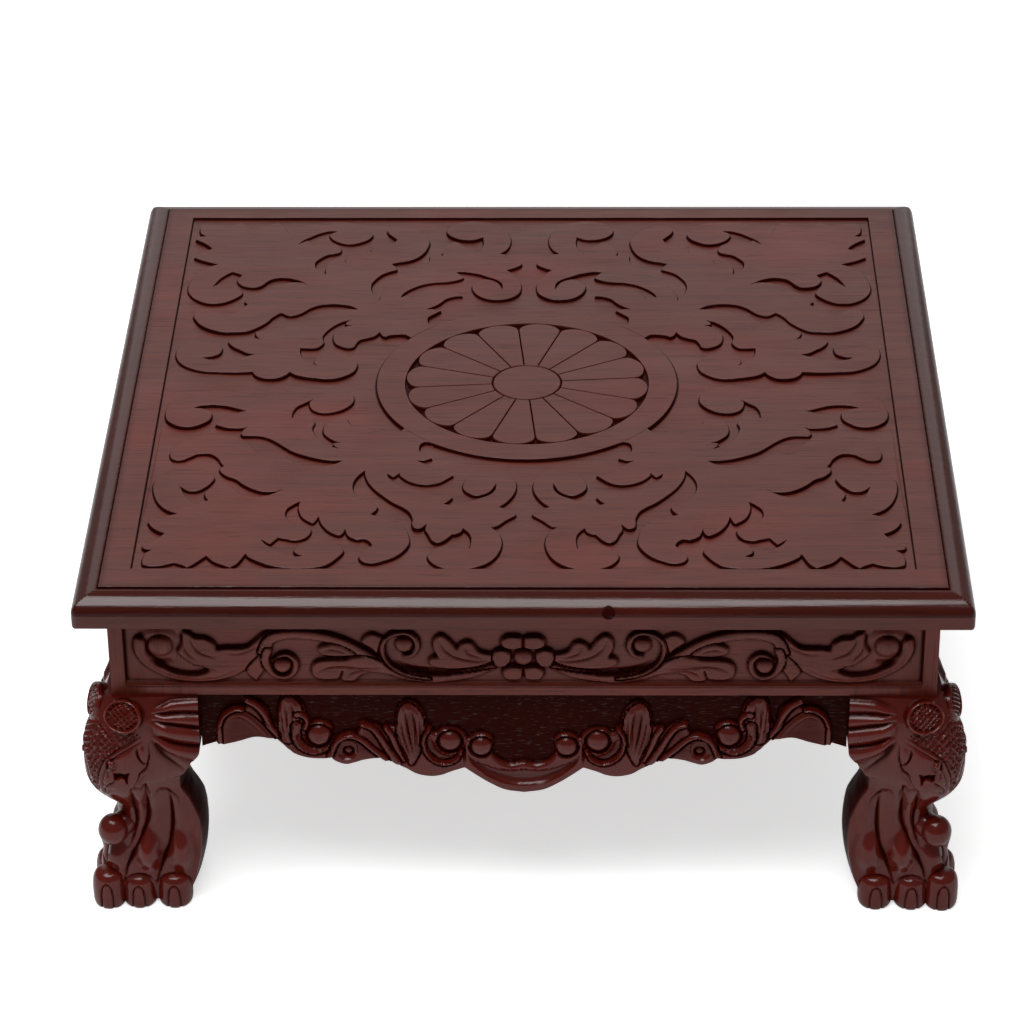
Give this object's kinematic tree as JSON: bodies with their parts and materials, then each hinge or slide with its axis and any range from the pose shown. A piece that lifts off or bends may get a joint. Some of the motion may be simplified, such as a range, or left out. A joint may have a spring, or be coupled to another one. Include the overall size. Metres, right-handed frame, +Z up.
{
  "type": "carved low table",
  "caption": "Low rosewood table with a moulded top carved with a rosette and scrolls, carved frieze rails, scalloped skirts and paw legs.",
  "frame": {"origin": "on the floor under the middle of the top", "axes": "+Z up, +X to the right of the front, the front faces -Y"},
  "size_m": [0.4598, 0.4468, 0.2],
  "materials": {
    "top_lacquer": "satin lacquered rosewood, rubbed pale along the edges",
    "carved_lacquer": "glossy red-black lacquered rosewood",
    "bare_wood": "sawn rosewood, unfinished"
  },
  "bodies": {
    "root": {"top_plank_front": "top_lacquer", "top_plank_middle": "top_lacquer", "top_plank_back": "top_lacquer", "edge_plug": "top_lacquer", "leg_front_left": "carved_lacquer", "leg_front_right": "carved_lacquer", "leg_back_left": "carved_lacquer", "leg_back_right": "carved_lacquer", "rail_front": "carved_lacquer", "rail_back": "carved_lacquer", "rail_left": "carved_lacquer", "rail_right": "carved_lacquer", "skirt_front": "carved_lacquer", "skirt_back": "carved_lacquer", "skirt_left": "carved_lacquer", "skirt_right": "carved_lacquer", "tongue_front": "bare_wood", "tongue_back": "bare_wood", "batten_left": "bare_wood", "batten_right": "bare_wood", "brace_front_left": "bare_wood", "brace_front_right": "bare_wood", "brace_back_left": "bare_wood", "brace_back_right": "bare_wood"}
  },
  "joints": []
}
